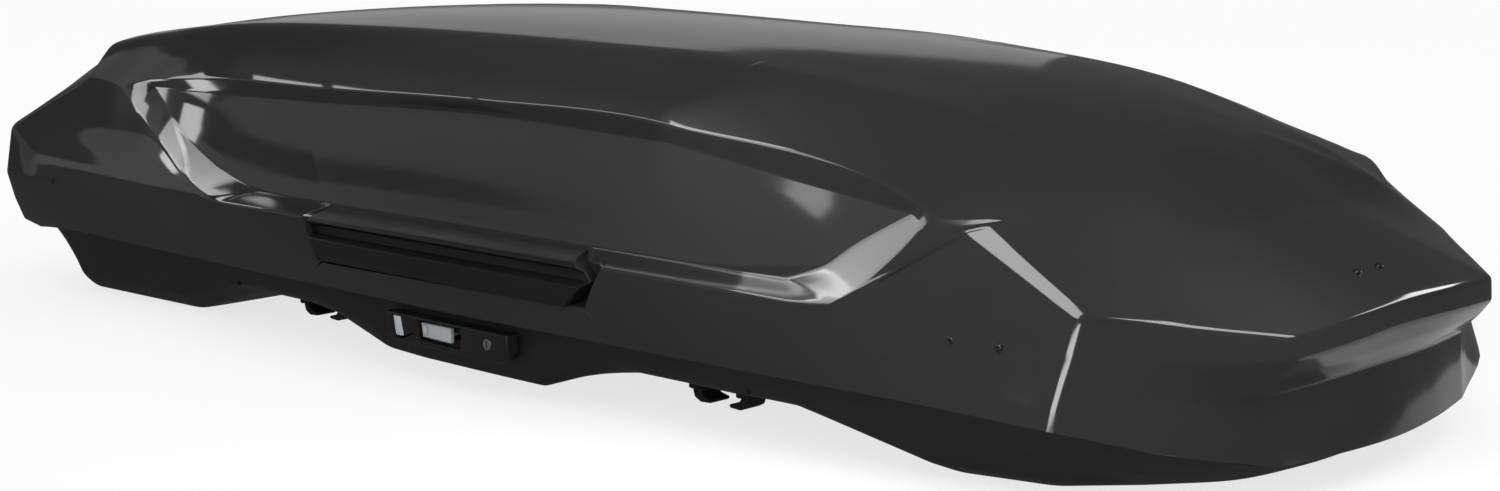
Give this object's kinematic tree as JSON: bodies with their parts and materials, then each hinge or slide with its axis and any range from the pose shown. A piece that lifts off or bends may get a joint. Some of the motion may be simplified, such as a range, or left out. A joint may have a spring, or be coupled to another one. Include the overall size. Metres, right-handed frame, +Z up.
{
  "type": "roof cargo box",
  "caption": "Long hard-shell car roof cargo box with a gloss-black faceted lid that opens from either side, a matt base with keels, side locks and crossbar clamps.",
  "frame": {"origin": "under the middle of the box, at the underside of its keels", "axes": "+X towards the nose, +Y to the left side, +Z up"},
  "size_m": [2.1604, 0.915, 0.4375],
  "materials": {
    "lid_abs": "high gloss black moulded ABS",
    "base_abs": "fine-grained matt black ABS",
    "mat_rubber": "ribbed anti-slip mat",
    "handle_plastic": "textured matt black",
    "lock_plastic": "satin black nylon",
    "slide_grey": "satin grey",
    "window_grey": "glossy grey",
    "key_metal": "satin plated",
    "rivet_black": "black lacquered",
    "zinc_steel": "zinc plated",
    "arm_aluminium": "satin anodised",
    "clamp_plastic": "glass-filled nylon",
    "claw_rubber": "rubber-covered steel",
    "pad_rubber": "black rubber"
  },
  "bodies": {
    "base": {"base_shell": "base_abs", "base_mat": "mat_rubber", "lock_housing_right": "lock_plastic", "lock_housing_left": "lock_plastic", "status_window_right": "window_grey", "status_window_left": "window_grey", "latch_guides_right": "lock_plastic", "latch_guides_left": "lock_plastic", "base_hinge_brackets": "zinc_steel", "base_hinge_pins": "zinc_steel", "arm_rests": "lock_plastic"},
    "cross_arms": {"cross_arm_front": "arm_aluminium", "cross_arm_rear": "arm_aluminium"},
    "lid": {"lid_shell": "lid_abs", "lid_rivets": "rivet_black", "lid_strikers": "zinc_steel", "side_handle_right": "handle_plastic", "side_handle_left": "handle_plastic", "lid_hinge_brackets": "zinc_steel", "lid_hinge_pins": "zinc_steel"},
    "latch_right": {"latch_rod_right": "zinc_steel", "lock_slide_right": "slide_grey"},
    "key_right": {"key_cylinder_right": "key_metal"},
    "latch_left": {"latch_rod_left": "zinc_steel", "lock_slide_left": "slide_grey"},
    "key_left": {"key_cylinder_left": "key_metal"},
    "clamp_front_right": {"clamp_body_front_right": "clamp_plastic", "bar_pad_front_right": "pad_rubber"},
    "knob_front_right": {"clamp_knob_front_right": "clamp_plastic"},
    "fore_claw_front_right": {"claw_fore_front_right": "claw_rubber"},
    "aft_claw_front_right": {"claw_aft_front_right": "claw_rubber"},
    "clamp_front_left": {"clamp_body_front_left": "clamp_plastic", "bar_pad_front_left": "pad_rubber"},
    "knob_front_left": {"clamp_knob_front_left": "clamp_plastic"},
    "fore_claw_front_left": {"claw_fore_front_left": "claw_rubber"},
    "aft_claw_front_left": {"claw_aft_front_left": "claw_rubber"},
    "clamp_rear_right": {"clamp_body_rear_right": "clamp_plastic", "bar_pad_rear_right": "pad_rubber"},
    "knob_rear_right": {"clamp_knob_rear_right": "clamp_plastic"},
    "fore_claw_rear_right": {"claw_fore_rear_right": "claw_rubber"},
    "aft_claw_rear_right": {"claw_aft_rear_right": "claw_rubber"},
    "clamp_rear_left": {"clamp_body_rear_left": "clamp_plastic", "bar_pad_rear_left": "pad_rubber"},
    "knob_rear_left": {"clamp_knob_rear_left": "clamp_plastic"},
    "fore_claw_rear_left": {"claw_fore_rear_left": "claw_rubber"},
    "aft_claw_rear_left": {"claw_aft_rear_left": "claw_rubber"}
  },
  "joints": [
    {"name": "open_from_right", "type": "hinge", "parent": "base", "child": "cross_arms", "pos_m": [0, 0.422, 0.1045], "axis": [-1, 0, 0], "range_deg": [0, 40]},
    {"name": "open_from_left", "type": "hinge", "parent": "cross_arms", "child": "lid", "pos_m": [0, -0.422, 0.1045], "axis": [1, 0, 0], "range_deg": [0, 40]},
    {"name": "latch_right_slide", "type": "slide", "parent": "base", "child": "latch_right", "axis": [1, 0, 0], "range_m": [0, 0.018]},
    {"name": "key_right_turn", "type": "hinge", "parent": "base", "child": "key_right", "pos_m": [0.119, -0.436, 0.071], "axis": [0, -1, 0], "range_deg": [0, 90]},
    {"name": "latch_left_slide", "type": "slide", "parent": "base", "child": "latch_left", "axis": [1, 0, 0], "range_m": [0, 0.018]},
    {"name": "key_left_turn", "type": "hinge", "parent": "base", "child": "key_left", "pos_m": [0.119, 0.436, 0.071], "axis": [0, 1, 0], "range_deg": [0, 90]},
    {"name": "clamp_front_right_slide", "type": "slide", "parent": "base", "child": "clamp_front_right", "axis": [1, 0, 0], "range_m": [-0.04, 0.06]},
    {"name": "knob_front_right_turn", "type": "hinge", "parent": "clamp_front_right", "child": "knob_front_right", "pos_m": [0.385, -0.3, 0.09], "axis": [0, 0, 1], "range_deg": [0, 540]},
    {"name": "claw_fore_front_right_swing", "type": "hinge", "parent": "clamp_front_right", "child": "fore_claw_front_right", "pos_m": [0.423, -0.3, 0.036], "axis": [0, -1, 0], "range_deg": [0, 36]},
    {"name": "claw_aft_front_right_swing", "type": "hinge", "parent": "clamp_front_right", "child": "aft_claw_front_right", "pos_m": [0.347, -0.3, 0.036], "axis": [0, 1, 0], "range_deg": [0, 36]},
    {"name": "clamp_front_left_slide", "type": "slide", "parent": "base", "child": "clamp_front_left", "axis": [1, 0, 0], "range_m": [-0.04, 0.06]},
    {"name": "knob_front_left_turn", "type": "hinge", "parent": "clamp_front_left", "child": "knob_front_left", "pos_m": [0.385, 0.3, 0.09], "axis": [0, 0, 1], "range_deg": [0, 540]},
    {"name": "claw_fore_front_left_swing", "type": "hinge", "parent": "clamp_front_left", "child": "fore_claw_front_left", "pos_m": [0.423, 0.3, 0.036], "axis": [0, -1, 0], "range_deg": [0, 36]},
    {"name": "claw_aft_front_left_swing", "type": "hinge", "parent": "clamp_front_left", "child": "aft_claw_front_left", "pos_m": [0.347, 0.3, 0.036], "axis": [0, 1, 0], "range_deg": [0, 36]},
    {"name": "clamp_rear_right_slide", "type": "slide", "parent": "base", "child": "clamp_rear_right", "axis": [1, 0, 0], "range_m": [-0.03, 0.06]},
    {"name": "knob_rear_right_turn", "type": "hinge", "parent": "clamp_rear_right", "child": "knob_rear_right", "pos_m": [-0.385, -0.3, 0.09], "axis": [0, 0, 1], "range_deg": [0, 540]},
    {"name": "claw_fore_rear_right_swing", "type": "hinge", "parent": "clamp_rear_right", "child": "fore_claw_rear_right", "pos_m": [-0.347, -0.3, 0.036], "axis": [0, -1, 0], "range_deg": [0, 36]},
    {"name": "claw_aft_rear_right_swing", "type": "hinge", "parent": "clamp_rear_right", "child": "aft_claw_rear_right", "pos_m": [-0.423, -0.3, 0.036], "axis": [0, 1, 0], "range_deg": [0, 36]},
    {"name": "clamp_rear_left_slide", "type": "slide", "parent": "base", "child": "clamp_rear_left", "axis": [1, 0, 0], "range_m": [-0.03, 0.06]},
    {"name": "knob_rear_left_turn", "type": "hinge", "parent": "clamp_rear_left", "child": "knob_rear_left", "pos_m": [-0.385, 0.3, 0.09], "axis": [0, 0, 1], "range_deg": [0, 540]},
    {"name": "claw_fore_rear_left_swing", "type": "hinge", "parent": "clamp_rear_left", "child": "fore_claw_rear_left", "pos_m": [-0.347, 0.3, 0.036], "axis": [0, -1, 0], "range_deg": [0, 36]},
    {"name": "claw_aft_rear_left_swing", "type": "hinge", "parent": "clamp_rear_left", "child": "aft_claw_rear_left", "pos_m": [-0.423, 0.3, 0.036], "axis": [0, 1, 0], "range_deg": [0, 36]}
  ],
  "couplings": [
    {"joint": "claw_fore_front_right_swing", "follows": "knob_front_right_turn", "ratio": 0.066667},
    {"joint": "claw_aft_front_right_swing", "follows": "knob_front_right_turn", "ratio": 0.066667},
    {"joint": "claw_fore_front_left_swing", "follows": "knob_front_left_turn", "ratio": 0.066667},
    {"joint": "claw_aft_front_left_swing", "follows": "knob_front_left_turn", "ratio": 0.066667},
    {"joint": "claw_fore_rear_right_swing", "follows": "knob_rear_right_turn", "ratio": 0.066667},
    {"joint": "claw_aft_rear_right_swing", "follows": "knob_rear_right_turn", "ratio": 0.066667},
    {"joint": "claw_fore_rear_left_swing", "follows": "knob_rear_left_turn", "ratio": 0.066667},
    {"joint": "claw_aft_rear_left_swing", "follows": "knob_rear_left_turn", "ratio": 0.066667}
  ]
}
